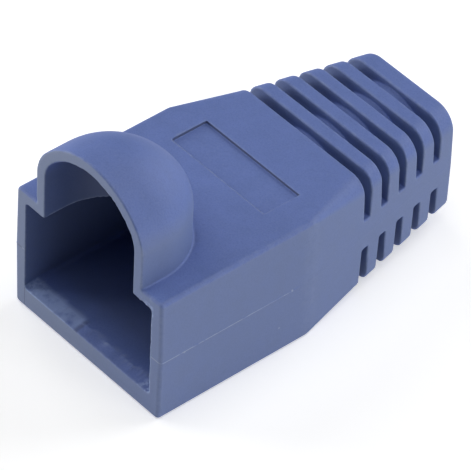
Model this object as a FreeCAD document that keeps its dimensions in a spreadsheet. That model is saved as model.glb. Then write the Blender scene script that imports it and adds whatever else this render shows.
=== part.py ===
"""RJ45 strain relief boot: one soft PVC moulding.

A rectangular sleeve takes the plug, a domed hood on its roof covers the plug's latch, and a tapered tail
of ribs and slots bends with the cable, which runs through a tube inside it.

Frame: millimetres, origin on the cable's axis in the plane of the mouth, +Y from the mouth to the tail,
+Z up. The mould opens along Z and parts at Z = 0.
"""
import FreeCAD, Part
import math
import os
import Sketcher

SIZES = [
    # The plug that the sleeve takes, and the walls round it
    ("plug_width", 11.68, "modular plug, across"),
    ("plug_height", 6.60, "modular plug, without its latch"),
    ("plug_clearance", 0.11, "gap on each side of the plug"),
    ("side_wall", 1.00, "sleeve's side wall at the parting line"),
    ("roof_wall", 0.80, "sleeve's roof"),
    ("floor_wall", 1.77, "sleeve's floor"),
    ("axis_height", 4.75, "cable's axis over the underside"),
    ("sleeve_length", 11.96, "mouth to the start of the tail"),
    ("socket_depth", 11.45, "mouth to the socket's end"),
    ("socket_radius", 0.30, "socket's inner corners"),
    ("side_draft", 1.10, "degrees, sides fall in from the parting line"),
    ("edge_radius", 0.30, "sleeve's long edges"),
    ("mouth_radius", 0.25, "outer edge round the mouth"),
    ("lead_depth", 0.80, "lead-in along the socket's floor"),
    ("lead_drop", 0.20, "lead-in down the mouth's face"),
    # The latch hood
    ("hood_width", 9.92, "hood across"),
    ("hood_straight", 1.65, "mouth to where the hood's plan turns round"),
    ("hood_shoulder", 2.43, "roof to where the crown starts"),
    ("hood_crown", 4.00, "rise of the crown"),
    ("hood_haunch", 3.00, "radius at each side of the crown"),
    ("hood_wall", 0.78, "hood's wall"),
    ("hood_foot", 0.40, "blend between hood and roof"),
    # The bare label recess
    ("label_width", 8.64, "recess across"),
    ("label_length", 2.81, "recess along the sleeve"),
    ("label_front", 10.14, "mouth to the recess"),
    ("label_depth", 0.25, "recess below the roof"),
    # The tail
    ("neck_length", 5.10, "sleeve to the first slot"),
    ("corner_lead", 0.40, "where the long corners are full, ahead of the first slot"),
    ("slot_count", 5, "slots above the web, and as many below"),
    ("slot_pitch", 1.732, "slot to slot"),
    ("slot_width", 0.60, "slot at its foot"),
    ("slot_draft", 1.20, "degrees, each slot wall opens outwards"),
    ("end_rib", 1.45, "last slot to the end"),
    ("web_height", 2.38, "band left solid along the parting line"),
    ("end_width", 8.62, "tail across at its end"),
    ("end_top", 4.05, "cable's axis to the top of the tail's end"),
    ("end_bottom", 3.75, "cable's axis to the bottom of the tail's end"),
    ("neck_radius", 1.10, "upper long corners where they are full"),
    ("end_corner", 1.53, "upper long corners at the tail's end"),
    ("tail_floor_radius", 0.70, "lower long corners, from where they are full"),
    ("end_radius", 0.30, "rounding round the tail's end"),
    # The cable's way through
    ("cable_diameter", 5.60, "cable"),
    ("cable_clearance", 0.10, "gap round the cable"),
    ("tube_wall", 0.85, "cable tube where the slots bare it"),
    ("funnel_end", 0.80, "funnel's small end to the first slot"),
    ("funnel_radius", 0.10, "what the funnel's small end lacks to be round"),
]

SOCKET_WIDTH = "(Sizes.plug_width + 2 * Sizes.plug_clearance)"
SOCKET_HEIGHT = "(Sizes.plug_height + 2 * Sizes.plug_clearance)"
SLEEVE_WIDTH = f"({SOCKET_WIDTH} + 2 * Sizes.side_wall)"
ROOF = f"(Sizes.floor_wall + {SOCKET_HEIGHT} + Sizes.roof_wall - Sizes.axis_height)"
CEILING = f"({ROOF} - Sizes.roof_wall)"
FLOOR_DROP = "(Sizes.axis_height - Sizes.floor_wall)"
SHOULDER = f"({ROOF} + Sizes.hood_shoulder)"

FIRST_SLOT = "(Sizes.sleeve_length + Sizes.neck_length)"
LAST_SLOT = f"({FIRST_SLOT} + (Sizes.slot_count - 1) * Sizes.slot_pitch)"
BOOT_LENGTH = f"({LAST_SLOT} + Sizes.slot_width + Sizes.end_rib)"
FULL_CORNERS = f"({FIRST_SLOT} - Sizes.corner_lead)"
NECK_SHARE = f"(({FULL_CORNERS} - Sizes.sleeve_length) / ({BOOT_LENGTH} - Sizes.sleeve_length))"
BORE_RADIUS = "(Sizes.cable_diameter / 2 + Sizes.cable_clearance)"
TUBE_RADIUS = f"({BORE_RADIUS} + Sizes.tube_wall)"

# Sketcher's own numbers for an edge's ends and for a sketch's two axes
START, END, CENTRE = 1, 2, 3
ACROSS_AXIS, UPRIGHT_AXIS = -1, -2
ORIGIN = (ACROSS_AXIS, START)

NEAR = 0.001

# Flat steps that stand for the rounding round the tail's end
ROUND_STEPS = 2


def make_sheet(doc):
    sheet = doc.addObject("Spreadsheet::Sheet", "Sizes")
    for row, (alias, value, note) in enumerate(SIZES, start=1):
        sheet.set(f"A{row}", alias)
        sheet.set(f"B{row}", str(value))
        sheet.set(f"C{row}", note)
        sheet.setAlias(f"B{row}", alias)
    doc.recompute()


def origin_feature(body, role):
    for feature in body.Origin.OriginFeatures:
        if feature.Role == role:
            return feature
    raise ValueError(role)


def new_sketch(body, name, role, offset=None):
    """A sketch on one of the body's planes, moved along that plane's normal by an expression."""
    sketch = body.newObject("Sketcher::SketchObject", name)
    sketch.AttachmentSupport = [(origin_feature(body, role), "")]
    sketch.MapMode = "FlatFace"
    if offset:
        sketch.setExpression("AttachmentOffset.Base.z", offset)
    return sketch


def worth(owner, expression):
    value = owner.evalExpression(expression)
    return float(getattr(value, "Value", value))


def size(sketch, kind, places, expression):
    """Add a length, a distance or a radius and tie it to an expression."""
    index = sketch.addConstraint(Sketcher.Constraint(kind, *places, worth(sketch, expression)))
    sketch.setExpression(f"Constraints[{index}]", expression)


def direction(sketch, edge, expression):
    """Tie an edge's direction to an expression in degrees."""
    angle = math.radians(worth(sketch, expression))
    index = sketch.addConstraint(Sketcher.Constraint("Angle", edge, angle))
    sketch.setExpression(f"Constraints[{index}]", f"({expression}) * 1 deg")


def relate(sketch, kind, *places):
    sketch.addConstraint(Sketcher.Constraint(kind, *places))


def join_ring(sketch, edges, sharp):
    """Join the edges end to start into a ring, tangent except where they meet at a sharp corner."""
    for edge in range(edges):
        joint = "Coincident" if edge in sharp else "Tangent"
        relate(sketch, joint, edge, END, (edge + 1) % edges, START)


def arc_between(centre, radius, first_degrees, last_degrees):
    circle = Part.Circle(centre, FreeCAD.Vector(0, 0, 1), radius)
    return Part.ArcOfCircle(circle, math.radians(first_degrees), math.radians(last_degrees))


def line_between(first, last):
    return Part.LineSegment(FreeCAD.Vector(*first, 0), FreeCAD.Vector(*last, 0))


def rounded_section(body, name, distance, half_width, top, bottom, radius, low_radius, draft="0"):
    """An upright outline with round corners, its sides widest at the height of the cable's axis."""
    sketch = new_sketch(body, name, "XZ_Plane", f"-{distance}")
    half, rise, drop = (worth(sketch, each) for each in (half_width, top, bottom))
    r, low_r = worth(sketch, radius), worth(sketch, low_radius)
    up_corner = FreeCAD.Vector(half - r, rise - r, 0)
    low_corner = FreeCAD.Vector(half - low_r, low_r - drop, 0)
    sketch.addGeometry([
        line_between((half, 0), (half, rise - r)),
        arc_between(up_corner, r, 0, 90),
        line_between((half - r, rise), (r - half, rise)),
        arc_between(FreeCAD.Vector(-up_corner.x, up_corner.y, 0), r, 90, 180),
        line_between((-half, rise - r), (-half, 0)),
        line_between((-half, 0), (-half, low_r - drop)),
        arc_between(FreeCAD.Vector(-low_corner.x, low_corner.y, 0), low_r, 180, 270),
        line_between((low_r - half, -drop), (half - low_r, -drop)),
        arc_between(low_corner, low_r, 270, 360),
        line_between((half, low_r - drop), (half, 0)),
    ])
    right_up, up_arc, roof, left_up, left_low, low_arc, floor, right_low = 0, 1, 2, 4, 5, 6, 7, 9
    join_ring(sketch, 10, sharp=(left_up, right_low))
    relate(sketch, "PointOnObject", right_up, START, ACROSS_AXIS)
    relate(sketch, "Symmetric", left_up, END, right_up, START, UPRIGHT_AXIS)
    relate(sketch, "Horizontal", roof)
    relate(sketch, "Horizontal", floor)
    relate(sketch, "Equal", right_up, left_up)
    relate(sketch, "Equal", right_low, left_low)
    relate(sketch, "Equal", up_arc, 3)
    relate(sketch, "Equal", low_arc, 8)
    size(sketch, "Radius", (up_arc,), radius)
    size(sketch, "Radius", (low_arc,), low_radius)
    size(sketch, "DistanceX", (*ORIGIN, right_up, START), half_width)
    size(sketch, "DistanceY", (*ORIGIN, roof, START), top)
    size(sketch, "DistanceY", (floor, START, *ORIGIN), bottom)
    direction(sketch, right_up, f"90 + {draft}")
    direction(sketch, right_low, f"90 - {draft}")
    return sketch


def arch_half(body, name, half_width, base, shoulder, crown, haunch):
    """Right half of the hood's arch: an upright side, then a haunch arc and a crown arc up to the middle."""
    sketch = new_sketch(body, name, "XZ_Plane", "-Sizes.hood_straight")
    half, foot, spring, rise, r = (worth(sketch, each) for each in (half_width, base, shoulder, crown, haunch))
    crown_radius = f"(({half_width} - {haunch})^2 + {crown}^2 - {haunch}^2) / (2 * ({crown} - {haunch}))"
    big = worth(sketch, crown_radius)
    turn = math.degrees(math.atan2(big - rise, half - r))
    sketch.addGeometry([
        line_between((0, foot), (half, foot)),
        line_between((half, foot), (half, spring)),
        arc_between(FreeCAD.Vector(half - r, spring, 0), r, 0, turn),
        arc_between(FreeCAD.Vector(0, spring + rise - big, 0), big, turn, 90),
        line_between((0, spring + rise), (0, foot)),
    ])
    base_line, side, haunch_arc, crown_arc, middle = range(5)
    join_ring(sketch, 5, sharp=(base_line, crown_arc, middle))
    relate(sketch, "Horizontal", base_line)
    relate(sketch, "Vertical", side)
    relate(sketch, "PointOnObject", middle, START, UPRIGHT_AXIS)
    relate(sketch, "PointOnObject", middle, END, UPRIGHT_AXIS)
    relate(sketch, "PointOnObject", crown_arc, CENTRE, UPRIGHT_AXIS)
    size(sketch, "DistanceX", (*ORIGIN, side, START), half_width)
    size(sketch, "DistanceY", (*ORIGIN, side, START), base)
    size(sketch, "DistanceY", (*ORIGIN, side, END), shoulder)
    size(sketch, "Radius", (haunch_arc,), haunch)
    size(sketch, "Radius", (crown_arc,), crown_radius)
    return sketch


def box_outline(body, name, role, offset, half_width, first, last):
    """A rectangle centred across the boot, between two distances up the sketch."""
    sketch = new_sketch(body, name, role, offset)
    half, low, high = (worth(sketch, each) for each in (half_width, first, last))
    sketch.addGeometry([
        line_between((-half, low), (half, low)),
        line_between((half, low), (half, high)),
        line_between((half, high), (-half, high)),
        line_between((-half, high), (-half, low)),
    ])
    low_line, right, high_line, left = range(4)
    join_ring(sketch, 4, sharp=range(4))
    relate(sketch, "Horizontal", high_line)
    relate(sketch, "Vertical", right)
    relate(sketch, "Vertical", left)
    relate(sketch, "Symmetric", low_line, START, low_line, END, UPRIGHT_AXIS)
    size(sketch, "DistanceX", (*ORIGIN, right, START), half_width)
    size(sketch, "DistanceY", (*ORIGIN, right, START), first)
    size(sketch, "DistanceY", (*ORIGIN, right, END), last)
    return sketch


def round_outline(body, name, distance, radius):
    """A circle about the cable's axis."""
    sketch = new_sketch(body, name, "XZ_Plane", f"-{distance}")
    circle = Part.Circle(FreeCAD.Vector(0, 0, 0), FreeCAD.Vector(0, 0, 1), worth(sketch, radius))
    sketch.addGeometry([circle])
    relate(sketch, "Coincident", 0, CENTRE, *ORIGIN)
    size(sketch, "Radius", (0,), radius)
    return sketch


def extrude(body, kind, name, sketch, length, backwards=False):
    """A Pad or a Pocket of one sketch."""
    feature = body.newObject(f"PartDesign::{kind}", name)
    feature.Profile = sketch
    feature.Reversed = backwards
    feature.setExpression("Length", length)
    body.Document.recompute()
    return feature


def revolve(body, kind, name, sketch):
    """A Revolution or a Groove of half a turn about the sketch's upright axis, round the hood's back."""
    feature = body.newObject(f"PartDesign::{kind}", name)
    feature.Profile = sketch
    feature.ReferenceAxis = (sketch, ["V_Axis"])
    feature.Angle = 180
    body.Document.recompute()
    return feature


def loft(body, kind, name, sections):
    feature = body.newObject(f"PartDesign::{kind}", name)
    feature.Profile = sections[0]
    feature.Sections = sections[1:]
    feature.Ruled = True
    body.Document.recompute()
    return feature


def mirror(body, name, original):
    """The same feature on the boot's left side."""
    feature = body.newObject("PartDesign::Mirrored", name)
    feature.Originals = [original]
    feature.MirrorPlane = (origin_feature(body, "YZ_Plane"), [""])
    body.Tip = feature
    body.Document.recompute()
    return feature


def repeat_slots(body, name, original):
    """One slot repeated along the tail."""
    feature = body.newObject("PartDesign::LinearPattern", name)
    feature.Originals = [original]
    feature.Direction = (origin_feature(body, "Y_Axis"), [""])
    feature.Mode = "Spacing"
    feature.setExpression("Offset", "Sizes.slot_pitch")
    feature.setExpression("Occurrences", "Sizes.slot_count")
    body.Tip = feature
    body.Document.recompute()
    return feature


def fillet(body, name, radius, edges):
    """A fillet on the given edges of the body so far."""
    base = body.Tip
    names = [f"Edge{i}" for i, edge in enumerate(base.Shape.Edges, start=1) if any(map(edge.isSame, edges))]
    feature = body.newObject("PartDesign::Fillet", name)
    feature.Base = (base, names)
    feature.setExpression("Radius", radius)
    body.Document.recompute()
    return feature


def faces_on(shape, axis, place):
    """The flat faces that lie wholly at one place along an axis."""
    spans = ((face, getattr(face.BoundBox, f"{axis}Min"), getattr(face.BoundBox, f"{axis}Max"))
             for face in shape.Faces)
    return [face for face, low, high in spans if abs(low - place) < NEAR and abs(high - place) < NEAR]


def rim_of(shape, axis, place):
    """The outer edges of the flat faces at one place along an axis."""
    return [edge for face in faces_on(shape, axis, place) for edge in face.OuterWire.Edges]


def make_sleeve(body):
    outline = rounded_section(body, "SleeveOutline", "0", f"{SLEEVE_WIDTH} / 2", ROOF, "Sizes.axis_height",
                              "Sizes.edge_radius", "Sizes.edge_radius", "Sizes.side_draft")
    extrude(body, "Pad", "Sleeve", outline, "Sizes.sleeve_length", backwards=True)


def make_tail(body):
    """Straight tapers on all four sides; the corners open on the neck, and the end is rounded in steps."""
    def tapered(start, end):
        return f"({start} + ({end} - {start}) * {NECK_SHARE})"

    neck = rounded_section(body, "NeckSection", "Sizes.sleeve_length", f"{SLEEVE_WIDTH} / 2", ROOF,
                           "Sizes.axis_height", "Sizes.edge_radius", "Sizes.edge_radius", "Sizes.side_draft")
    full = rounded_section(body, "FullCornerSection", FULL_CORNERS,
                           tapered(f"{SLEEVE_WIDTH} / 2", "Sizes.end_width / 2"),
                           tapered(ROOF, "Sizes.end_top"),
                           tapered("Sizes.axis_height", "Sizes.end_bottom"),
                           "Sizes.neck_radius", "Sizes.tail_floor_radius", "Sizes.side_draft")
    sections = [neck, full]
    for step in range(ROUND_STEPS + 1):
        angle = f"({90 * step / ROUND_STEPS} * 1 deg)"
        left = f"(Sizes.end_radius * (1 - sin({angle})))"
        inset = f"(Sizes.end_radius * (1 - cos({angle})))"
        sections.append(rounded_section(body, f"EndSection{step + 1}", f"({BOOT_LENGTH} - {left})",
                                        f"(Sizes.end_width / 2 - {inset})", f"(Sizes.end_top - {inset})",
                                        f"(Sizes.end_bottom - {inset})", f"(Sizes.end_corner - {inset})",
                                        f"(Sizes.tail_floor_radius - {inset})", "Sizes.side_draft"))
    loft(body, "AdditiveLoft", "Tail", sections)


def make_slots(body):
    """The mould's two halves pull slots up and down from a web left at the parting line."""
    slot_end = f"({FIRST_SLOT} + Sizes.slot_width)"
    upper = box_outline(body, "UpperSlotFoot", "XY_Plane", "Sizes.web_height / 2", f"{SLEEVE_WIDTH} / 2",
                        FIRST_SLOT, slot_end)
    upper_slot = extrude(body, "Pocket", "UpperSlot", upper, ROOF, backwards=True)
    upper_slot.setExpression("TaperAngle", "Sizes.slot_draft")
    repeat_slots(body, "UpperSlots", upper_slot)
    lower = box_outline(body, "LowerSlotFoot", "XY_Plane", "-Sizes.web_height / 2", f"{SLEEVE_WIDTH} / 2",
                        FIRST_SLOT, slot_end)
    lower_slot = extrude(body, "Pocket", "LowerSlot", lower, "Sizes.axis_height")
    lower_slot.setExpression("TaperAngle", "Sizes.slot_draft")
    repeat_slots(body, "LowerSlots", lower_slot)


def make_tube(body):
    """The tube that the slots bare, from inside the neck to inside the end rib."""
    start = f"({FIRST_SLOT} - Sizes.end_rib / 2)"
    tube = round_outline(body, "TubeOutline", start, TUBE_RADIUS)
    extrude(body, "Pad", "Tube", tube, f"{BOOT_LENGTH} - Sizes.end_rib / 2 - {start}", backwards=True)


def make_hood(body):
    arch = arch_half(body, "HoodArch", "Sizes.hood_width / 2", CEILING, SHOULDER, "Sizes.hood_crown",
                     "Sizes.hood_haunch")
    front = extrude(body, "Pad", "HoodRight", arch, "Sizes.hood_straight")
    mirror(body, "HoodFront", front)
    revolve(body, "Revolution", "HoodDome", arch)
    shape = body.Tip.Shape
    roof = worth(body, ROOF)
    foot = [edge for face in faces_on(shape, "Z", roof) for edge in face.Edges
            if any(other.BoundBox.ZMax > roof + NEAR for other in shape.ancestorsOfType(edge, Part.Face))]
    fillet(body, "HoodFoot", "Sizes.hood_foot", [edge for edge in foot if edge.BoundBox.YMax > NEAR])


def hollow_hood(body):
    """The same arch, one wall smaller, cut from inside the socket up."""
    arch = arch_half(body, "HoodInnerArch", "(Sizes.hood_width / 2 - Sizes.hood_wall)", f"({CEILING} / 2)",
                     SHOULDER, "(Sizes.hood_crown - Sizes.hood_wall)", "(Sizes.hood_haunch - Sizes.hood_wall)")
    front = extrude(body, "Pocket", "HoodCavityRight", arch, "Sizes.hood_straight", backwards=True)
    mirror(body, "HoodCavityFront", front)
    revolve(body, "Groove", "HoodCavityDome", arch)


def hollow_sleeve(body):
    """The socket, a funnel that leads the cable on from it, and the cable's bore."""
    mouth = rounded_section(body, "SocketOutline", "0", f"({SOCKET_WIDTH} / 2)", CEILING, FLOOR_DROP,
                            "Sizes.socket_radius", "Sizes.socket_radius")
    extrude(body, "Pocket", "Socket", mouth, "Sizes.socket_depth")
    wide = rounded_section(body, "FunnelStart", "Sizes.socket_depth", f"({SOCKET_WIDTH} / 2)", CEILING,
                           FLOOR_DROP, "Sizes.socket_radius", "Sizes.socket_radius")
    corner = f"({BORE_RADIUS} - Sizes.funnel_radius)"
    narrow = rounded_section(body, "FunnelEnd", f"({FIRST_SLOT} - Sizes.funnel_end)", BORE_RADIUS,
                             BORE_RADIUS, BORE_RADIUS, corner, corner)
    loft(body, "SubtractiveLoft", "Funnel", [wide, narrow])
    bore = round_outline(body, "BoreOutline", BOOT_LENGTH, BORE_RADIUS)
    extrude(body, "Pocket", "Bore", bore, f"({BOOT_LENGTH} - Sizes.socket_depth)", backwards=True)


def make_label(body):
    recess = box_outline(body, "LabelOutline", "XY_Plane", ROOF, "Sizes.label_width / 2",
                         "Sizes.label_front", "Sizes.label_front + Sizes.label_length")
    extrude(body, "Pocket", "Label", recess, "Sizes.label_depth")


def make_lead_in(body):
    """A shallow ramp on the socket's floor that leads the plug in."""
    sketch = new_sketch(body, "LeadInOutline", "YZ_Plane")
    deep, low = (worth(sketch, each) for each in ("Sizes.lead_depth", "Sizes.lead_drop"))
    floor = worth(sketch, FLOOR_DROP)
    sketch.addGeometry([
        line_between((0, -floor - low), (deep, -floor)),
        line_between((deep, -floor), (0, -floor)),
        line_between((0, -floor), (0, -floor - low)),
    ])
    ramp, level, front = range(3)
    join_ring(sketch, 3, sharp=range(3))
    relate(sketch, "Horizontal", level)
    relate(sketch, "PointOnObject", front, START, UPRIGHT_AXIS)
    relate(sketch, "PointOnObject", front, END, UPRIGHT_AXIS)
    size(sketch, "DistanceX", (level, END, level, START), "Sizes.lead_depth")
    size(sketch, "DistanceY", (front, END, front, START), "Sizes.lead_drop")
    size(sketch, "DistanceY", (front, START, *ORIGIN), FLOOR_DROP)
    ramp_cut = extrude(body, "Pocket", "LeadIn", sketch, SOCKET_WIDTH)
    ramp_cut.Midplane = True


def report_faults(doc):
    """Names of the objects that failed, because recomputing doesn't raise."""
    faults = [obj.Name for obj in doc.Objects if {"Invalid", "Error"} & set(obj.State)]
    bodies = [obj for obj in doc.Objects if obj.TypeId == "PartDesign::Body"]
    faults += [body.Label for body in bodies if body.Shape.isNull() or not body.Shape.isValid()]
    return faults


def main():
    doc = FreeCAD.newDocument("Boot")
    make_sheet(doc)
    body = doc.addObject("PartDesign::Body", "boot")
    body.Label = "boot"
    make_sleeve(body)
    make_tail(body)
    make_slots(body)
    make_tube(body)
    make_hood(body)
    hollow_hood(body)
    hollow_sleeve(body)
    make_lead_in(body)
    make_label(body)
    fillet(body, "MouthEdge", "Sizes.mouth_radius", rim_of(body.Tip.Shape, "Y", 0))
    doc.recompute()
    faults = report_faults(doc)
    if faults:
        raise RuntimeError(f"failed: {faults}")
    os.makedirs("parts", exist_ok=True)
    body.Shape.exportStep(f"parts/{body.Label}.step")
    return doc


doc = main()
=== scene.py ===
"""RJ45 strain relief boot: the moulding's soft skin, its PVC, a white sweep, studio light and the camera.

The boot is one soft moulding with no hard edge anywhere, so its skin is meshed here from a distance field:
each form is a signed distance, and each edge where two forms meet has its own rounding. The skin stands
for the CAD node and keeps to its box. Lengths of the skin are millimetres, in the CAD's own frame.
"""
import math
import bpy
import numpy as np
from mathutils import Matrix, Vector


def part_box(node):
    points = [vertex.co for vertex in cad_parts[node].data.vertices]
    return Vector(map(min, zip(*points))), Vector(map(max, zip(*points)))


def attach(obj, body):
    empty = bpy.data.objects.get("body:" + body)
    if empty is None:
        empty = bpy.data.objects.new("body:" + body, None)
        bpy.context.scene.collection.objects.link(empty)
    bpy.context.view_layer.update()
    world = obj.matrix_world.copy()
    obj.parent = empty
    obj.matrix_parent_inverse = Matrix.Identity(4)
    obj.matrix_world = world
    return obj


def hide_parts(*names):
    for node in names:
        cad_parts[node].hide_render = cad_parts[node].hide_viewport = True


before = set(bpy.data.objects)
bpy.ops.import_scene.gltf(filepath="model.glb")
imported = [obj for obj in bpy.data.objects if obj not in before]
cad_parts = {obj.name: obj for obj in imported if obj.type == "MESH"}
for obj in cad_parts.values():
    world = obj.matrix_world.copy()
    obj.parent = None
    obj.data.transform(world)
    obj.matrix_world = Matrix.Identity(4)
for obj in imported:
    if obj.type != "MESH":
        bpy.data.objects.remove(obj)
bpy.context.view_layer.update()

MM = 0.001
LOW, HIGH = (np.array(corner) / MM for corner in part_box("boot"))

# Sleeve: its box comes from the frame
HALF = HIGH[0]
UNDERSIDE = LOW[2]
LENGTH = HIGH[1]
ROOF = 4.64
CREASE = 11.96
DRAFT = math.tan(math.radians(1.1))
EDGE = 0.30
MOUTH_EDGE = 0.25
HOOD_RIM_EDGE = 0.10
HOOD_RIM_FROM = ROOF - 0.2
HOOD_RIM_FULL = ROOF + 0.6
RIM_EDGE = 0.07

# Socket, lead-in, funnel and bore
SOCKET_HALF = 5.95
CEILING = 3.84
SOCKET_FLOOR = -2.98
SOCKET_END = 11.45
SOCKET_EDGE = 0.30
LEAD_DEPTH = 0.80
LEAD_DROP = 0.20
TORN_FROM = -1.2
TORN_BLEND = 0.1
TORN_DEPTH = 0.28
TORN_RAG = 0.16
FILM = 0.05
FILM_DEPTH = 0.12
FILM_ON_WALL = (3.0, 4.0)
FILM_ON_CEILING = (4.2, 4.6)
FUNNEL_END = 16.26
BORE = 2.90
TUBE = 3.75
TUBE_STOPS = LENGTH - 0.5

# Latch hood
HOOD_HALF = 4.96
HOOD_STRAIGHT = 1.65
HOOD_SHOULDER = 7.07
HOOD_CROWN = HIGH[2] - HOOD_SHOULDER
HOOD_HAUNCH = 3.00
HOOD_WALL = 0.78
FOOT_AT_MOUTH = 0.12
FOOT_BEHIND = 0.16
FOOT_CHANGES = (1.0, 5.0)

# Label recess
LABEL_HALF = 4.32
LABEL_FRONT = 10.14
LABEL_BACK = 12.95
LABEL_DEPTH = 0.25
LABEL_EDGE = 0.03

# Tail
END_HALF = 4.31
END_TOP = 4.05
END_BOTTOM = -3.75
END_EDGE = 0.30
FULL_CORNERS = 16.66
NECK_RADIUS = 1.10
END_RADIUS = 1.53
LOW_RADIUS = 0.70
CREASE_EDGE = 0.08
SLOTS = 5
FIRST_SLOT = 17.06
SLOT_PITCH = 1.732
SLOT_WIDTH = 0.60
SLOT_DRAFT = math.tan(math.radians(1.2))
SLOT_FOOT = 0.12
WEB_HALF = 1.19
RIB_EDGE = 0.10
TUBE_FOOT = 0.10

# Flash left where the mould's halves meet
FLASH = 0.035
FLASH_HALF = 0.04
FLASH_FADES = 10.4
FLASH_FADE_END = FLASH_FADES + 1
FLASH_LOSS = 0.8

# Grid of the skin's mesh: (place, step from there on), finer where there are edges. No flat wall lies on a
# line of the grid, where rounding errors would decide which side it is on
ACROSS = [(0.0, 0.30), (2.5, 0.20), (4.0, 0.11), (5.1, 0.18), (5.78, 0.10), (7.15, 0.10)]
ALONG = [(-0.30, 0.08), (0.70, 0.30), (9.90, 0.09), (10.35, 0.28), (11.70, 0.14), (12.2, 0.20), (12.78, 0.09),
         (13.15, 0.32), (16.8, 0.10), (26.3, 0.10)]
UPRIGHT = [(-4.95, 0.10), (-4.2, 0.20), (-3.3, 0.09), (-2.8, 0.22), (-1.35, 0.09), (-1.0, 0.17),
           (-0.16, 0.04), (0.16, 0.17), (1.0, 0.09), (1.35, 0.22), (3.6, 0.10), (4.85, 0.22), (7.0, 0.18),
           (11.3, 0.18)]
SETTLE_STEPS = 4
SETTLE_REACH = 0.05
LEAST_SLOPE = 0.5
PROBE = 0.002

# What the skin tells its paint: how far round each point it looks for edges and corners, how near to the
# hollow's own form counts as inside, and the run from a mouth over which the inside's painted shade grows
EDGE_PROBE = 0.12
EDGE_GAIN = 0.12
CORNER_PROBE = 1.0
INNER_FACE = (0.03, 0.08)
DEEPENS_OVER = (0.3, 3.0)

# PVC: its clouds and grain, whitening by strain or dust, painted sheen, and painted shade and dark seams
CLOUD_DARK = (0.066, 0.130, 0.412)
CLOUD_LIGHT = (0.082, 0.150, 0.460)
GRAIN_LIGHT = (0.120, 0.185, 0.430)
GRAIN_DARK = (0.045, 0.095, 0.300)
PALE = (0.30, 0.37, 0.52)
RIM_SHEEN = (0.21, 0.26, 0.36)
UPRIGHT_SHEEN = (0.17, 0.215, 0.26)
TORN = (0.30, 0.41, 0.70)
INSIDE_SHADE = (0.035, 0.055, 0.120)
SEAM_AND_SHADE = (0.020, 0.040, 0.130)

# Sweep: its side in metres, its white, and what it shines with of its own, where 1 is white
FLOOR_SIZE = 3.0
FLOOR_WHITE = 0.88
FLOOR_LIFT = 0.45

# Camera: its direction and roll in degrees, then its distance, aim, sensor and lens in millimetres
AZIMUTH = 47.453
ELEVATION = 42.373
ROLL = 2.890
DISTANCE = 304.24
AIM = (0.0, 13.0, 0.57)
AIM_RIGHT = -0.924
AIM_UP = -1.817
SENSOR = 36.0
LENS = 377.893


def both(a, b, radius):
    """Where two forms overlap, with the outer edge between them rounded."""
    corner = np.hypot(np.maximum(a + radius, 0), np.maximum(b + radius, 0))
    return np.minimum(-radius, np.maximum(a, b)) + corner


def either(a, b, radius):
    """Two forms joined, with the inner corner between them filled to a radius."""
    return -both(-a, -b, radius)


def without(a, b, radius):
    """The first form less the second, with the edge between them rounded."""
    return both(a, -b, radius)


def share_between(value, start, end):
    return np.clip((value - start) / (end - start), 0, 1)


def blend(start, end, share):
    return start + (end - start) * share


def taper(y, place, start, end):
    """Distance outwards from a face that runs straight from the crease to the tail's end."""
    slope = (end - start) / (LENGTH - CREASE)
    return (place - start - slope * (y - CREASE)) / math.hypot(1, slope)


def arch(across, z, half, crown, haunch):
    """The hood's arch: an upright side, a haunch arc and a crown arc, in distance from its middle."""
    radius = ((half - haunch) ** 2 + crown ** 2 - haunch ** 2) / (2 * (crown - haunch))
    crown_centre = HOOD_SHOULDER + crown - radius
    out, up = across - (half - haunch), z - HOOD_SHOULDER
    turn = np.array([half - haunch, HOOD_SHOULDER - crown_centre])
    turn /= np.linalg.norm(turn)
    on_crown = turn[0] * up - turn[1] * out > 0
    curved = np.where(on_crown, np.hypot(across, z - crown_centre) - radius, np.hypot(out, up) - haunch)
    return np.where(up < 0, across - half, curved)


def ragged(x):
    """An uneven line, from -1 to 1, like the torn edge of a film of flash."""
    return 0.5 * np.sin(3.1 * x + 0.7) + 0.3 * np.sin(7.7 * x + 2.1) + 0.2 * np.sin(17.3 * x + 4.0)


def film(place, y):
    """Thin uneven flash that stands into the mouth along its edge."""
    return FILM * (1 + ragged(place)) * np.exp(-(y / FILM_DEPTH) ** 2)


def outer_form(x, y, z):
    """Sleeve and tail as one tapered bar, before its ends are cut."""
    ax, az = np.abs(x), np.abs(z)
    sleeve_side = ax + az * DRAFT - HALF + FLASH
    tail_side = taper(y, ax + az * DRAFT + FLASH, HALF, END_HALF)
    side = both(sleeve_side, tail_side, CREASE_EDGE)
    roof = np.maximum(z - ROOF, taper(y, z, ROOF, END_TOP))
    floor = np.maximum(UNDERSIDE - z, taper(y, -z, -UNDERSIDE, -END_BOTTOM))
    opened = share_between(y, CREASE, FULL_CORNERS)
    past_corners = share_between(y, FULL_CORNERS, LENGTH)
    upper = blend(EDGE, NECK_RADIUS, opened) + blend(0, END_RADIUS - NECK_RADIUS, past_corners)
    lower = blend(EDGE, LOW_RADIUS, opened)
    fading = 1 - FLASH_LOSS * share_between(y, FLASH_FADES, FLASH_FADE_END)
    flash = FLASH * np.exp(-(z / FLASH_HALF) ** 2) * fading
    return both(both(side - flash, roof, upper), floor, lower)


def slot_form(y, z):
    """The nearest slot, drawn up or down from the web."""
    turn = np.clip(np.round((y - FIRST_SLOT - SLOT_WIDTH / 2) / SLOT_PITCH), 0, SLOTS - 1)
    centre = FIRST_SLOT + SLOT_WIDTH / 2 + turn * SLOT_PITCH
    height = np.abs(z) - WEB_HALF
    wall = np.abs(y - centre) - SLOT_WIDTH / 2 - np.maximum(height, 0) * SLOT_DRAFT
    return both(wall, -height, SLOT_FOOT)


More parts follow.
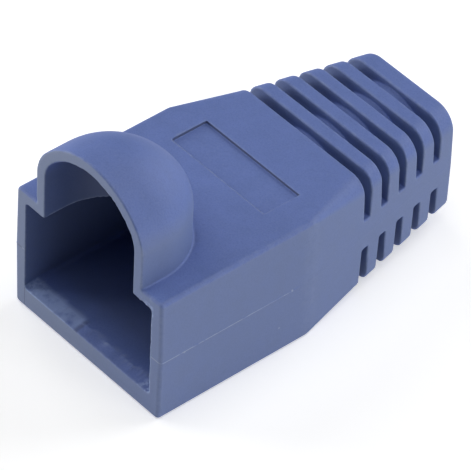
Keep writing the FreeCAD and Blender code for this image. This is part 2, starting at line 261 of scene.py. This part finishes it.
def hollow_form(x, y, z):
    """Plug socket, funnel, bore and the inside of the hood, open at both ends."""
    ax, across = np.abs(x), np.hypot(x, np.maximum(y - HOOD_STRAIGHT, 0))
    narrowing = share_between(y, SOCKET_END, FUNNEL_END)
    torn_left = share_between(-x, -TORN_FROM - TORN_BLEND, -TORN_FROM + TORN_BLEND)
    torn = TORN_DEPTH * torn_left + TORN_RAG * ragged(x)
    lead = LEAD_DROP * (1 - share_between(y, 0, LEAD_DEPTH + torn))
    side = ax - blend(SOCKET_HALF, BORE, narrowing) + share_between(x, *FILM_ON_WALL) * film(z, y)
    roof = z - blend(CEILING, BORE, narrowing) + share_between(x, *FILM_ON_CEILING) * film(3 * x, y)
    floor = blend(SOCKET_FLOOR, -BORE, narrowing) - lead - z
    corner = blend(SOCKET_EDGE, BORE, narrowing)
    socket = np.maximum(both(both(side, roof, corner), floor, corner), y - FUNNEL_END)
    bore = np.maximum(np.hypot(x, z) - BORE, SOCKET_END - y)
    hood = arch(across, z, HOOD_HALF - HOOD_WALL, HOOD_CROWN - HOOD_WALL, HOOD_HAUNCH - HOOD_WALL)
    hood = np.maximum(hood, CEILING / 2 - z)
    return either(np.minimum(socket, bore), hood, RIM_EDGE)


def label_form(x, y, z):
    middle, half = (LABEL_FRONT + LABEL_BACK) / 2, (LABEL_BACK - LABEL_FRONT) / 2
    return np.maximum(np.maximum(np.abs(x) - LABEL_HALF, np.abs(y - middle) - half), ROOF - LABEL_DEPTH - z)


def boot_form(x, y, z):
    """Signed distance to the whole moulding, negative inside the PVC."""
    bar = without(outer_form(x, y, z), slot_form(y, z), RIB_EDGE)
    tube = np.maximum(np.hypot(x, z) - TUBE, np.maximum(FULL_CORNERS - y, y - TUBE_STOPS))
    bar = either(bar, tube, TUBE_FOOT)
    across = np.hypot(x, np.maximum(y - HOOD_STRAIGHT, 0))
    hood = np.maximum(arch(across, z, HOOD_HALF, HOOD_CROWN, HOOD_HAUNCH), CEILING - z)
    body = either(bar, hood, blend(FOOT_AT_MOUTH, FOOT_BEHIND, share_between(y, *FOOT_CHANGES)))
    mouth_edge = blend(MOUTH_EDGE, HOOD_RIM_EDGE, share_between(z, HOOD_RIM_FROM, HOOD_RIM_FULL))
    body = both(both(body, -y, mouth_edge), y - LENGTH, END_EDGE)
    body = without(body, hollow_form(x, y, z), RIM_EDGE)
    return without(body, label_form(x, y, z), LABEL_EDGE)


def grid_lines(stops):
    """Places along one axis, evenly spaced between one stop and the next."""
    lines = []
    for (start, step), (end, _) in zip(stops, stops[1:]):
        lines.append(np.linspace(start, end, max(2, round((end - start) / step) + 1))[:-1])
    return np.append(np.concatenate(lines), stops[-1][0])


def slope_of(points):
    """Gradient of the field at each point."""
    slope = np.empty_like(points)
    for axis, step in enumerate(np.eye(3) * PROBE):
        slope[:, axis] = (boot_form(*(points + step).T) - boot_form(*(points - step).T)) / (2 * PROBE)
    return slope


def cell_corners(values, axis, first, second):
    """The values at one pair of corners of every cell, for the edge of the cell along an axis."""
    others = [other for other in range(3) if other != axis]
    near, far = [slice(None)] * 3, [slice(None)] * 3
    near[axis], far[axis] = slice(0, -1), slice(1, None)
    for other, offset in zip(others, (first, second)):
        near[other] = far[other] = slice(offset, values.shape[other] - 1 + offset)
    return values[tuple(near)], values[tuple(far)]


def along_axis(line, axis):
    """A line of values, shaped to run along one axis of the grid."""
    shape = [1, 1, 1]
    shape[axis] = -1
    return line.reshape(shape)


def net_skin(axes):
    """Vertices and quads round the zero level of the field: one vertex a cell, one quad a crossed edge."""
    values = boot_form(*(part.ravel() for part in np.meshgrid(*axes, indexing="ij")))
    values = values.reshape([len(axis) for axis in axes])
    cells = [len(axis) - 1 for axis in axes]
    total, count = np.zeros((*cells, 3)), np.zeros(cells)
    for axis in range(3):
        others = [other for other in range(3) if other != axis]
        for first, second in ((0, 0), (0, 1), (1, 0), (1, 1)):
            near, far = cell_corners(values, axis, first, second)
            crossed = (near < 0) != (far < 0)
            share = np.where(crossed, near / np.where(crossed, near - far, 1), 0)
            place = along_axis(axes[axis][:-1], axis) + share * along_axis(np.diff(axes[axis]), axis)
            total[..., axis] += np.where(crossed, place, 0)
            for other, offset in zip(others, (first, second)):
                line = axes[other][offset:len(axes[other]) - 1 + offset]
                total[..., other] += np.where(crossed, along_axis(line, other), 0)
            count += crossed
    active = count > 0
    number = np.full(cells, -1)
    number[active] = np.arange(active.sum())
    points = total[active] / count[active][:, None]
    quads = [quads_along(values, number, axis) for axis in range(3)]
    return points, np.concatenate(quads)


def quads_along(values, number, axis):
    """A quad round each grid edge along one axis that crosses the skin, facing out of the PVC."""
    second, third = (axis + 1) % 3, (axis + 2) % 3
    inside = np.moveaxis(values < 0, (axis, second, third), (0, 1, 2))
    cells = np.moveaxis(number, (axis, second, third), (0, 1, 2))
    leaving = (inside[:-1] & ~inside[1:])[:, 1:-1, 1:-1]
    entering = (~inside[:-1] & inside[1:])[:, 1:-1, 1:-1]
    ring = np.stack([cells[:, :-1, :-1], cells[:, 1:, :-1], cells[:, 1:, 1:], cells[:, :-1, 1:]], axis=-1)
    return np.concatenate([ring[leaving], ring[entering][:, ::-1]])


def settle(points, reach):
    """Move vertices onto the zero level along the field's gradient."""
    for _ in range(SETTLE_STEPS):
        slope = slope_of(points)
        level = boot_form(*points.T) / np.maximum((slope ** 2).sum(axis=1), LEAST_SLOPE ** 2)
        points = points - np.clip(level, -reach, reach)[:, None] * slope
    return points


def bulge_of(points, reach):
    """How far the field round each point exceeds the field at it: above 0 at an edge, below 0 in a corner."""
    total = -6 * boot_form(*points.T)
    for step in np.eye(3) * reach:
        total += boot_form(*(points + step).T) + boot_form(*(points - step).T)
    return total


def edge_of(points):
    """How sharply the skin turns outwards at each point, 0 where it is flat and 1 at an edge."""
    return np.clip(bulge_of(points, EDGE_PROBE) / EDGE_PROBE ** 2 * EDGE_GAIN, 0, 1)


def corner_of(points):
    """How near each point lies to an inner corner, 0 beyond the probe's reach and 1 in the corner."""
    return np.clip(-bulge_of(points, CORNER_PROBE) / CORNER_PROBE, 0, 1)


def depth_of(points):
    """How deep each point lies inside the hollow, 0 outside and at its mouths and 1 well inside."""
    x, y, z = points.T
    inside = 1 - share_between(np.abs(hollow_form(x, y, z)), *INNER_FACE)
    return inside * share_between(np.minimum(y, LENGTH - y), *DEEPENS_OVER)


def make_skin():
    """The whole moulding as one mesh, with what its paint needs held at each point."""
    half = grid_lines(ACROSS)
    axes = [np.concatenate([-half[:0:-1], half]), grid_lines(ALONG), grid_lines(UPRIGHT)]
    points, quads = net_skin(axes)
    points = np.clip(settle(points, SETTLE_REACH), LOW, HIGH)
    slope = slope_of(points)
    mesh = bpy.data.meshes.new("boot_skin")
    mesh.from_pydata((points * MM).tolist(), [], quads.tolist())
    mesh.polygons.foreach_set("use_smooth", np.ones(len(quads), dtype=bool))
    normals = slope / np.maximum(np.linalg.norm(slope, axis=1, keepdims=True), 1e-6)
    mesh.normals_split_custom_set_from_vertices(normals.tolist())
    for name, measure in (("edge", edge_of), ("corner", corner_of), ("depth", depth_of)):
        mesh.attributes.new(name, "FLOAT", "POINT").data.foreach_set("value", measure(points))
    mesh.update()
    skin = bpy.data.objects.new("boot_skin", mesh)
    bpy.context.collection.objects.link(skin)
    return skin


def node(tree, kind, **values):
    """A shader node, with its named inputs or settings given as values or as sockets to link from."""
    made = tree.nodes.new(kind)
    for name, value in values.items():
        if name in made.inputs:
            socket = made.inputs[name]
        elif name.replace("_", " ") in made.inputs:
            socket = made.inputs[name.replace("_", " ")]
        else:
            setattr(made, name, value)
            continue
        if isinstance(value, bpy.types.NodeSocket):
            tree.links.new(value, socket)
        else:
            socket.default_value = value
    return made


def new_material(name):
    material = bpy.data.materials.new(name)
    material.use_nodes = True
    tree = material.node_tree
    tree.nodes.clear()
    return material, tree, tree.nodes.new("ShaderNodeOutputMaterial")


def step_up(tree, value, start, end):
    """0 before the start, 1 after the end, and a ramp between them; it falls where the end comes first."""
    return node(tree, "ShaderNodeMapRange", Value=value, From_Min=start, From_Max=end).outputs["Result"]


def times(tree, *factors):
    """The product of sockets and numbers."""
    total = factors[0]
    for factor in factors[1:]:
        product = node(tree, "ShaderNodeMath", operation="MULTIPLY")
        tree.links.new(total, product.inputs[0])
        if isinstance(factor, bpy.types.NodeSocket):
            tree.links.new(factor, product.inputs[1])
        else:
            product.inputs[1].default_value = factor
        total = product.outputs["Value"]
    return total


def paint(tree, under, colour, *where, share):
    """A plain colour over another, where all of the factors are 1, as strongly as the share says."""
    mix = tree.nodes.new("ShaderNodeMix")
    mix.data_type = "RGBA"
    tree.links.new(times(tree, *where, share), mix.inputs["Factor"])
    tree.links.new(under, mix.inputs["A"])
    mix.inputs["B"].default_value = (*colour, 1)
    return mix.outputs["Result"]


def noise(tree, place, scale, detail=3.0, roughness=0.6):
    made = node(tree, "ShaderNodeTexNoise", Vector=place, Scale=scale, Detail=detail, Roughness=roughness)
    return made.outputs["Fac"]


def step_mm(tree, value, start, end):
    """As step_up, between two places in millimetres."""
    return step_up(tree, value, start * MM, end * MM)


def between_mm(tree, value, rise, fall):
    """1 between two places, with a ramp at each, given as its start and end."""
    return times(tree, step_mm(tree, value, *rise), step_mm(tree, value, *fall))


def size_of(tree, value):
    """The value without its sign."""
    made = node(tree, "ShaderNodeMath", operation="ABSOLUTE")
    tree.links.new(value, made.inputs[0])
    return made.outputs["Value"]


def stored(tree, name):
    """A value that the skin's mesh holds at each point."""
    return node(tree, "ShaderNodeAttribute", attribute_name=name).outputs["Fac"]


def clouds_and_grain(tree, place):
    ramp = node(tree, "ShaderNodeValToRGB", Fac=noise(tree, place, scale=900.0))
    dark, light = ramp.color_ramp.elements
    dark.position, light.position = 0.3, 0.7
    dark.color, light.color = (*CLOUD_DARK, 1), (*CLOUD_LIGHT, 1)
    grain = noise(tree, place, scale=9000.0, detail=2.0)
    colour = paint(tree, ramp.outputs["Color"], GRAIN_LIGHT, step_up(tree, grain, 0.50, 0.72), share=0.35)
    return paint(tree, colour, GRAIN_DARK, step_up(tree, grain, 0.48, 0.30), share=0.35)


def sheen_and_shade_paint(tree, colour, spot, lean, depth):
    """Painted sheen on upright faces, painted shade inside the hollow, and painted shade round the hood's
    foot.
    """
    # Painted sheen: upright faces are greyer than the roof
    colour = paint(tree, colour, UPRIGHT_SHEEN, step_up(tree, lean, 0.5, 0.1), share=0.30)
    # Painted shade: darker the deeper a point lies inside the hollow
    colour = paint(tree, colour, INSIDE_SHADE, depth, share=0.55)
    # Painted shade: darker near the inner corner round the hood's foot, on the roof before the label
    on_roof = step_mm(tree, spot["Z"], ROOF - 0.2, ROOF - 0.1)
    before_label = step_mm(tree, spot["Y"], LABEL_FRONT - 0.2, LABEL_FRONT - 1.2)
    return paint(tree, colour, SEAM_AND_SHADE, stored(tree, "corner"), on_roof, before_label, share=0.80)


def whitened_edges(tree, colour, spot, depth, broken):
    """Every edge a little, those inside more, and the mouth's right edge most."""
    edge = stored(tree, "edge")
    colour = paint(tree, colour, PALE, edge, broken, share=0.27)
    colour = paint(tree, colour, PALE, edge, step_up(tree, depth, 0.0, 0.1), share=0.7)
    right = between_mm(tree, spot["X"], (SOCKET_HALF - 0.30, SOCKET_HALF - 0.20),
                       (SOCKET_HALF + 0.15, SOCKET_HALF + 0.05))
    return paint(tree, colour, TORN, edge, right, step_mm(tree, spot["Y"], 0.25, 0.15), broken, share=0.9)


def parting_line(tree, colour, place, spot, facing, aside, height):
    """The light line where the mould's halves meet, and the speck at its end."""
    line = times(tree, step_mm(tree, height, 0.050, 0.025),
                 step_mm(tree, aside, SOCKET_HALF + 0.05, SOCKET_HALF + 0.10),
                 step_mm(tree, spot["Y"], FLASH_FADES, FLASH_FADES - 0.5))
    gaps = step_up(tree, noise(tree, place, scale=1500.0), 0.30, 0.50)
    colour = paint(tree, colour, PALE, line, gaps, share=0.85)
    outside = times(tree, step_mm(tree, spot["X"], SOCKET_HALF - 0.15, SOCKET_HALF - 0.05),
                    step_up(tree, facing["X"], -0.3, -0.1))
    speck = times(tree, step_mm(tree, height, 0.11, 0.07),
                  between_mm(tree, spot["Y"], (FLASH_FADES - 0.08, FLASH_FADES - 0.04),
                             (FLASH_FADES + 0.10, FLASH_FADES + 0.06)))
    return paint(tree, colour, PALE, outside, speck, share=0.8)


def label_edges(tree, colour, spot, lean, aside, broken):
    """Painted shade on the recess's rear and side walls, and its whitened front edge."""
    recess = ROOF - LABEL_DEPTH
    # Painted shade on the recess's rear and side walls
    wall = times(tree, step_mm(tree, spot["Z"], recess - 0.03, recess), step_up(tree, lean, 0.80, 0.55),
                 between_mm(tree, spot["Y"], (LABEL_FRONT + 0.10, LABEL_FRONT + 0.12),
                            (LABEL_BACK + 0.10, LABEL_BACK + 0.08)),
                 step_mm(tree, aside, LABEL_HALF + 0.10, LABEL_HALF + 0.08))
    colour = paint(tree, colour, SEAM_AND_SHADE, wall, share=0.75)
    front = times(tree, step_mm(tree, spot["Z"], ROOF - 0.10, ROOF - 0.06),
                  between_mm(tree, spot["Y"], (LABEL_FRONT - 0.12, LABEL_FRONT - 0.06),
                             (LABEL_FRONT + 0.04, LABEL_FRONT + 0.02)),
                  step_mm(tree, aside, LABEL_HALF + 0.04, LABEL_HALF))
    return paint(tree, colour, PALE, front, broken, share=0.35)


def mouth_rim(tree, colour, spot, facing, height):
    """Painted sheen on the rim's face, a dark seam by the lower lip, and a notch's painted shade at the
    parting line.
    """
    # Painted sheen: the rim's front face is paler, more so to the left
    rim = times(tree, step_up(tree, facing["Y"], -0.80, -0.95), step_mm(tree, spot["Y"], 0.15, 0.05))
    colour = paint(tree, colour, RIM_SHEEN, rim, step_mm(tree, spot["X"], 9.0, -2.0), share=0.45)
    seam = times(tree, between_mm(tree, spot["X"], (-SOCKET_HALF - 0.04, -SOCKET_HALF - 0.01),
                                  (-SOCKET_HALF + 0.05, -SOCKET_HALF + 0.02)),
                 step_mm(tree, spot["Z"], SOCKET_FLOOR - 0.02, SOCKET_FLOOR - 0.12))
    colour = paint(tree, colour, SEAM_AND_SHADE, rim, seam, share=0.7)
    # Painted shade standing in for a notch at the parting line on the left rim
    notch = times(tree, step_mm(tree, spot["X"], -SOCKET_HALF - 0.25, -SOCKET_HALF - 0.35),
                  step_mm(tree, height, 0.07, 0.04))
    return paint(tree, colour, SEAM_AND_SHADE, rim, notch, share=0.6)


def torn_mouth(tree, colour, place, spot, facing, aside):
    """The sill's torn left half and the bay that ends it, frayed corners, and the burr at the top right."""
    sill = times(tree, step_mm(tree, spot["Z"], SOCKET_FLOOR + 0.23, SOCKET_FLOOR + 0.03),
                 step_mm(tree, spot["Y"], LEAD_DEPTH + 0.45, LEAD_DEPTH + 0.10),
                 step_up(tree, facing["Z"], 0.1, 0.4))
    torn_left = step_mm(tree, spot["X"], TORN_FROM + 0.2, TORN_FROM - 0.2)
    scuffs = step_up(tree, noise(tree, place, scale=1400.0, detail=5.0), 0.24, 0.50)
    colour = paint(tree, colour, TORN, sill, torn_left, scuffs, share=0.60)
    bay = between_mm(tree, spot["X"], (TORN_FROM - 0.10, TORN_FROM + 0.05),
                     (TORN_FROM + 0.35, TORN_FROM + 0.20))
    colour = paint(tree, colour, SEAM_AND_SHADE, sill, bay, share=0.45)
    frayed = step_up(tree, noise(tree, place, scale=3200.0, detail=5.0), 0.46, 0.60)
    corners = step_mm(tree, aside, SOCKET_HALF - 1.45, SOCKET_HALF - 0.55)
    colour = paint(tree, colour, TORN, sill, corners, frayed, share=0.8)
    burr = times(tree, between_mm(tree, spot["X"], (SOCKET_HALF - 1.35, SOCKET_HALF - 0.65),
                                  (SOCKET_HALF + 0.20, SOCKET_HALF + 0.10)),
                 between_mm(tree, spot["Z"], (CEILING - 0.84, CEILING - 0.64),
                            (CEILING + 0.31, CEILING + 0.21)),
                 step_mm(tree, spot["Y"], 0.35, 0.20))
    return paint(tree, colour, TORN, burr, frayed, share=0.7)


def dust_specks(tree, colour, place):
    specks = node(tree, "ShaderNodeTexVoronoi", Vector=place, Scale=420.0)
    chosen = node(tree, "ShaderNodeSeparateColor", Color=specks.outputs["Color"]).outputs["Red"]
    near = step_up(tree, specks.outputs["Distance"], 0.045, 0.025)
    return paint(tree, colour, PALE, near, step_up(tree, chosen, 0.84, 0.86), share=0.6)


def pvc_colour(tree, place):
    """The PVC's own colour, and over it what moulding, handling and dust have left, with painted sheen and
    painted shade, all fixed to the boot.
    """
    normal = tree.nodes.new("ShaderNodeTexCoord").outputs["Normal"]
    spot = node(tree, "ShaderNodeSeparateXYZ", Vector=place).outputs
    facing = node(tree, "ShaderNodeSeparateXYZ", Vector=normal).outputs
    aside, height, lean = (size_of(tree, value) for value in (spot["X"], spot["Z"], facing["Z"]))
    depth = stored(tree, "depth")
    broken = step_up(tree, noise(tree, place, scale=2500.0), 0.35, 0.65)
    colour = clouds_and_grain(tree, place)
    colour = sheen_and_shade_paint(tree, colour, spot, lean, depth)
    colour = whitened_edges(tree, colour, spot, depth, broken)
    colour = parting_line(tree, colour, place, spot, facing, aside, height)
    colour = label_edges(tree, colour, spot, lean, aside, broken)
    colour = mouth_rim(tree, colour, spot, facing, height)
    colour = torn_mouth(tree, colour, place, spot, facing, aside)
    return dust_specks(tree, colour, place)


def pvc_material():
    """Soft blue PVC: satin, faintly clouded, with a fine grain from the mould."""
    material, tree, output = new_material("boot_pvc")
    place = tree.nodes.new("ShaderNodeTexCoord").outputs["Object"]
    pits = noise(tree, place, scale=5200.0, detail=4.0)
    bump = node(tree, "ShaderNodeBump", Height=pits, Strength=0.35, Distance=0.02 * MM)
    shine = node(tree, "ShaderNodeMapRange", Value=noise(tree, place, scale=900.0), To_Min=0.62, To_Max=0.74)
    shader = node(tree, "ShaderNodeBsdfPrincipled", Base_Color=pvc_colour(tree, place), IOR=1.6,
                  Roughness=shine.outputs["Result"], Specular_IOR_Level=1.0, Normal=bump.outputs["Normal"])
    tree.links.new(shader.outputs["BSDF"], output.inputs["Surface"])
    return material


def seen_rays(tree):
    """1 on a ray from the camera, off gloss or through glass, and 0 on a ray that lights something."""
    rays = tree.nodes.new("ShaderNodeLightPath").outputs
    seen = rays["Is Camera Ray"]
    for other in ("Is Glossy Ray", "Is Transmission Ray"):
        larger = node(tree, "ShaderNodeMath", operation="MAXIMUM")
        tree.links.new(seen, larger.inputs[0])
        tree.links.new(rays[other], larger.inputs[1])
        seen = larger.outputs["Value"]
    return seen


def floor_material():
    """White sweep, with a little light of its own to look at, so that it is white but for the shadow."""
    material, tree, output = new_material("sweep")
    matt = node(tree, "ShaderNodeBsdfDiffuse", Color=(FLOOR_WHITE, FLOOR_WHITE, FLOOR_WHITE, 1))
    glow = node(tree, "ShaderNodeEmission", Strength=times(tree, seen_rays(tree), FLOOR_LIFT))
    total = tree.nodes.new("ShaderNodeAddShader")
    tree.links.new(matt.outputs["BSDF"], total.inputs[0])
    tree.links.new(glow.outputs["Emission"], total.inputs[1])
    tree.links.new(total.outputs["Shader"], output.inputs["Surface"])
    return material


def make_floor():
    bpy.ops.mesh.primitive_plane_add(size=FLOOR_SIZE, location=(0, 0, UNDERSIDE * MM))
    floor = bpy.context.object
    floor.name = "sweep"
    floor.data.materials.append(floor_material())


def make_light(name, azimuth, elevation, distance, size, power):
    """A square soft box that faces the boot's middle: degrees, then metres, then watts."""
    a, e = math.radians(azimuth), math.radians(elevation)
    away = Vector((math.sin(a) * math.cos(e), -math.cos(a) * math.cos(e), math.sin(e)))
    middle = Vector(((LOW + HIGH) / 2 * MM).tolist())
    data = bpy.data.lights.new(name, "AREA")
    data.size = size
    data.energy = power
    light = bpy.data.objects.new(name, data)
    light.location = middle + away * distance
    light.rotation_euler = away.to_track_quat("Z", "Y").to_euler()
    bpy.context.collection.objects.link(light)


def make_world(strength):
    world = bpy.data.worlds.new("studio")
    bpy.context.scene.world = world
    world.use_nodes = True
    background = world.node_tree.nodes["Background"]
    background.inputs["Color"].default_value = (1, 1, 1, 1)
    background.inputs["Strength"].default_value = strength


def make_camera():
    """A long lens from above the front right, rolled a little."""
    a, e, roll = (math.radians(angle) for angle in (AZIMUTH, ELEVATION, ROLL))
    back = Vector((math.sin(a) * math.cos(e), -math.cos(a) * math.cos(e), math.sin(e)))
    level_right = Vector((math.cos(a), math.sin(a), 0))
    level_up = back.cross(level_right)
    right = level_right * math.cos(roll) + level_up * math.sin(roll)
    up = level_up * math.cos(roll) - level_right * math.sin(roll)
    aim = Vector(AIM) + right * AIM_RIGHT + up * AIM_UP
    data = bpy.data.cameras.new("camera")
    data.sensor_width = SENSOR
    data.lens = LENS
    data.clip_start = 0.01
    camera = bpy.data.objects.new("camera", data)
    turn = Matrix((right, up, back)).transposed().to_4x4()
    camera.matrix_world = Matrix.Translation((aim + back * DISTANCE) * MM) @ turn
    bpy.context.collection.objects.link(camera)
    bpy.context.scene.camera = camera


skin = make_skin()
skin.data.materials.append(pvc_material())
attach(skin, "root")
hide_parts("boot")

make_floor()
make_light("overhead", azimuth=20, elevation=80, distance=0.35, size=0.30, power=0.39)
make_light("right", azimuth=103, elevation=10, distance=0.40, size=0.13, power=0.47)
make_light("front_left", azimuth=-55, elevation=10, distance=0.40, size=0.13, power=0.68)
make_light("left", azimuth=-90, elevation=35, distance=0.40, size=0.30, power=0.46)
make_light("back", azimuth=172, elevation=33, distance=0.40, size=0.30, power=0.81)
make_world(strength=0.02)
make_camera()
bpy.context.scene.view_settings.view_transform = "Standard"
